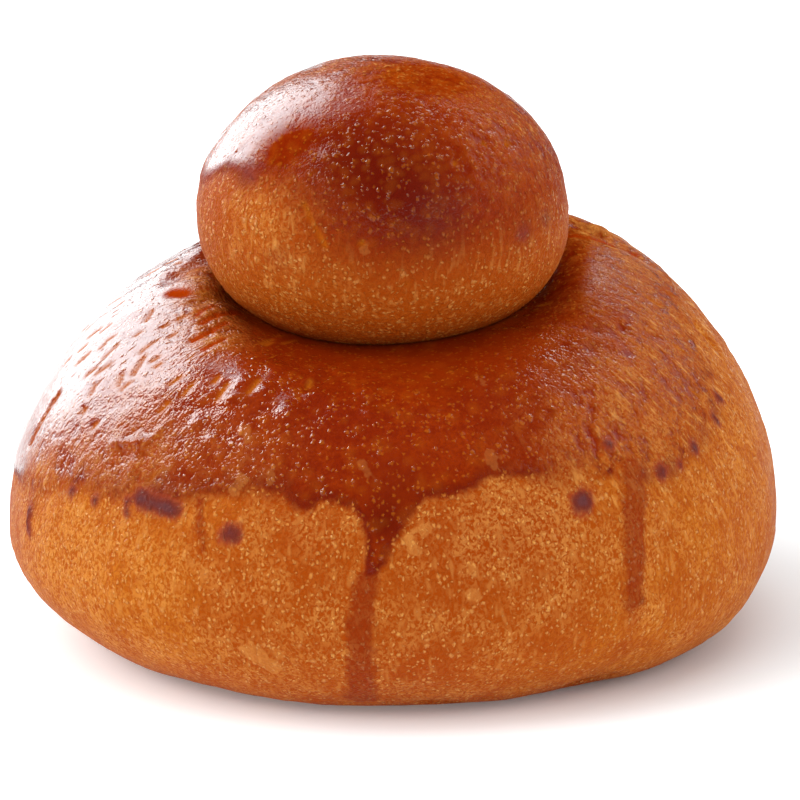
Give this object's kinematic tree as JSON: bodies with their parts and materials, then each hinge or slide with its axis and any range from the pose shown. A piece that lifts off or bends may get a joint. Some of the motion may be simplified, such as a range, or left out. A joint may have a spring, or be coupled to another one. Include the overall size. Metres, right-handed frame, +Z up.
{
  "type": "brioche",
  "caption": "Domed bun of rich bread with a ball of the same dough baked on top, standing on its flat foot.",
  "frame": {"origin": "middle of the flat foot, on the surface it stands on", "axes": "+Z up through the topknot, -Y towards the front, where the topknot leans"},
  "size_m": [0.1006, 0.0988, 0.0757],
  "materials": {
    "crust": "egg-washed baked crust: glossy reddish brown above, golden brown with small pale blisters below"
  },
  "bodies": {
    "root": {"brioche": "crust"}
  },
  "joints": []
}
